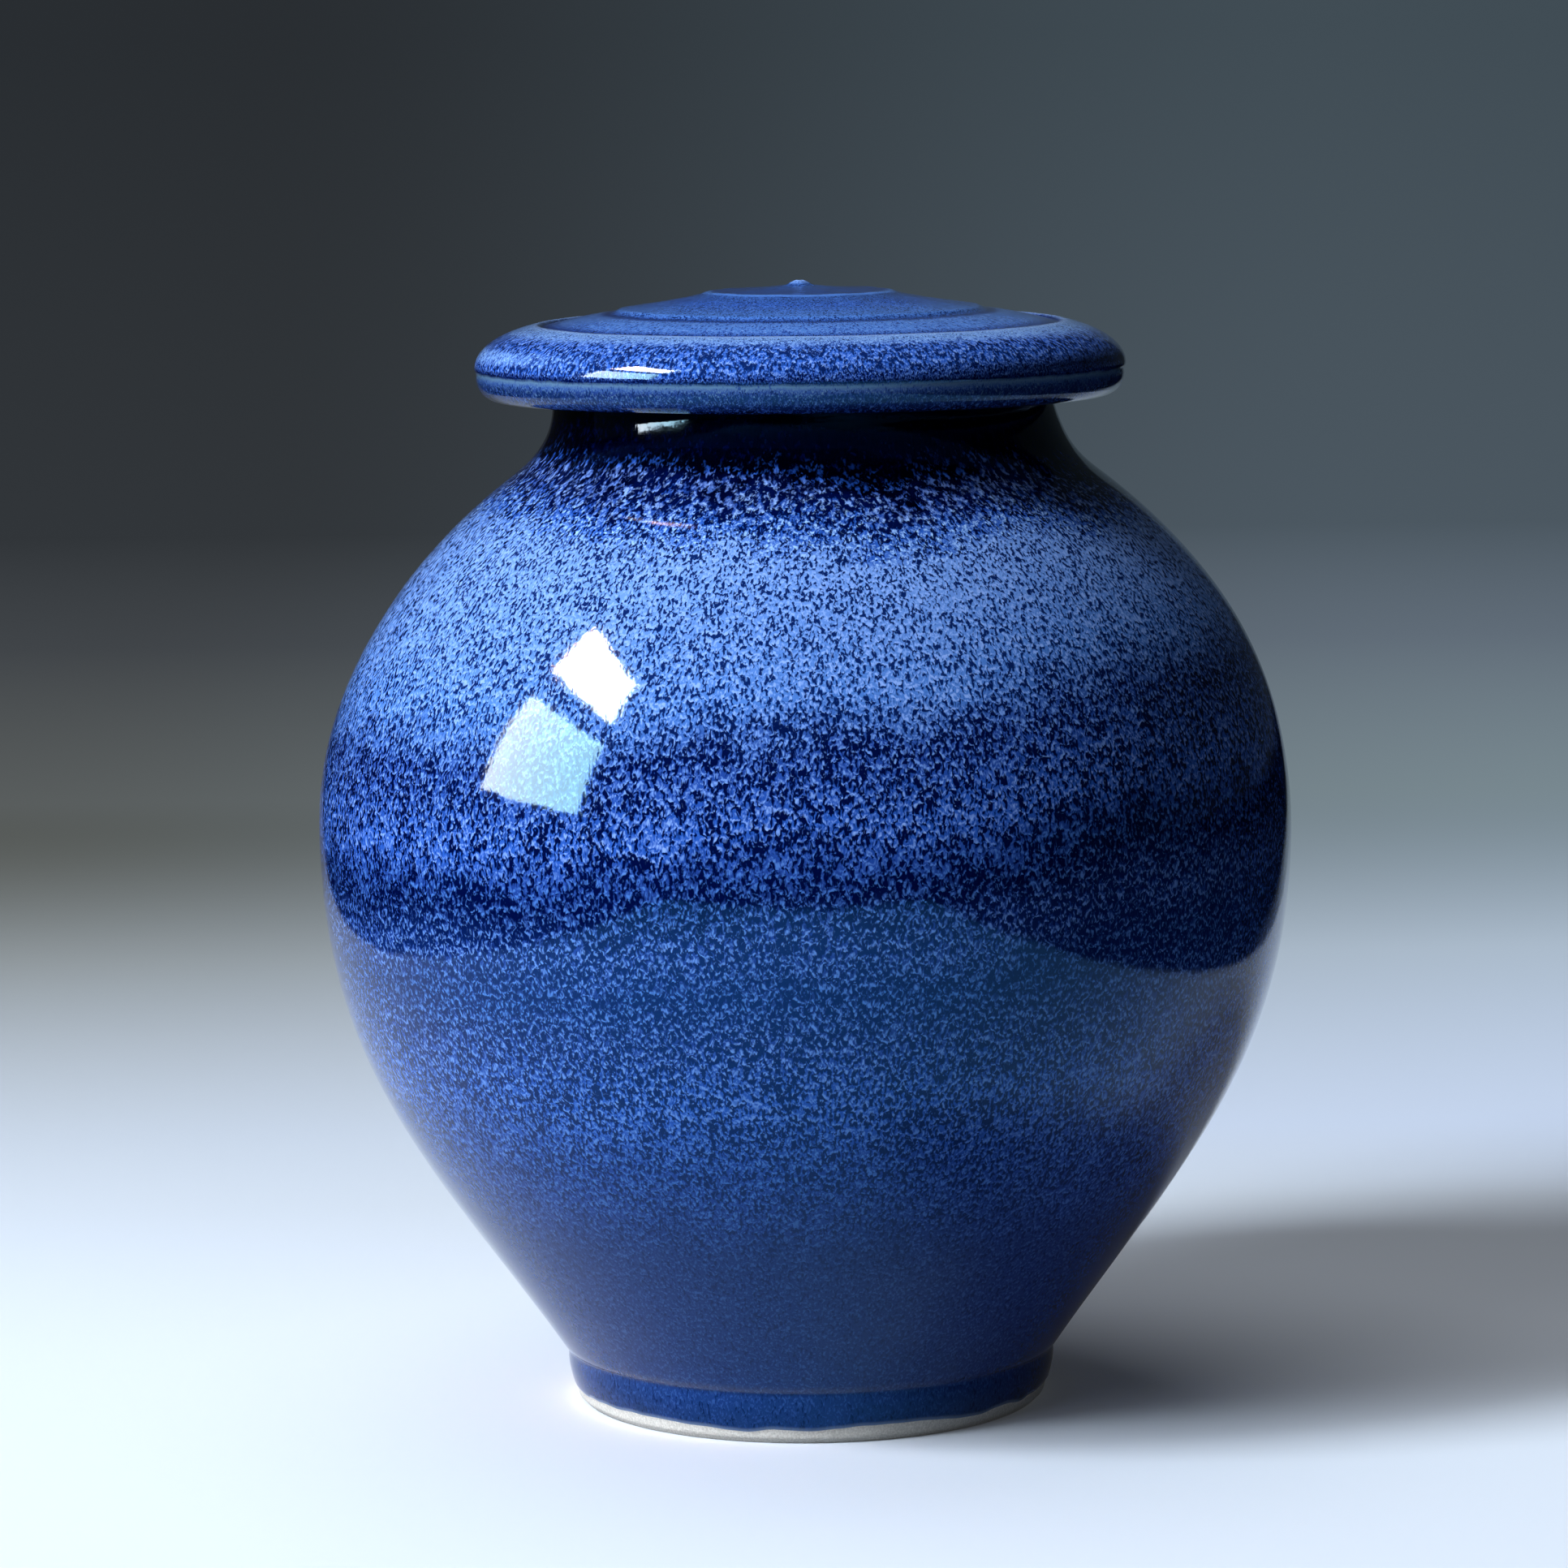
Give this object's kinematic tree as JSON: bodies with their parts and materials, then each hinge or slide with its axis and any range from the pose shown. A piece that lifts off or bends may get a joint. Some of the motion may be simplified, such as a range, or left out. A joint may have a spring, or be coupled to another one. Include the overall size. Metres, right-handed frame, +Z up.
{
  "type": "lidded jar",
  "caption": "Round-bellied glazed stoneware jar on a narrow turned foot, with a wide overhanging lid that lifts off.",
  "frame": {"origin": "centre of the foot ring, on the surface that the jar stands on", "axes": "+Z up along the axis that the jar was thrown on; X and Y lie in the table's plane"},
  "size_m": [0.202, 0.202, 0.2334],
  "materials": {
    "jar_glaze": "gloss",
    "lid_glaze": "gloss"
  },
  "bodies": {
    "jar": {"jar": "jar_glaze"},
    "lid": {"lid": "lid_glaze"}
  },
  "joints": [
    {"name": "lid_lift", "type": "slide", "parent": "jar", "child": "lid", "axis": [0, 0, 1], "range_m": [0, 0.15]}
  ]
}
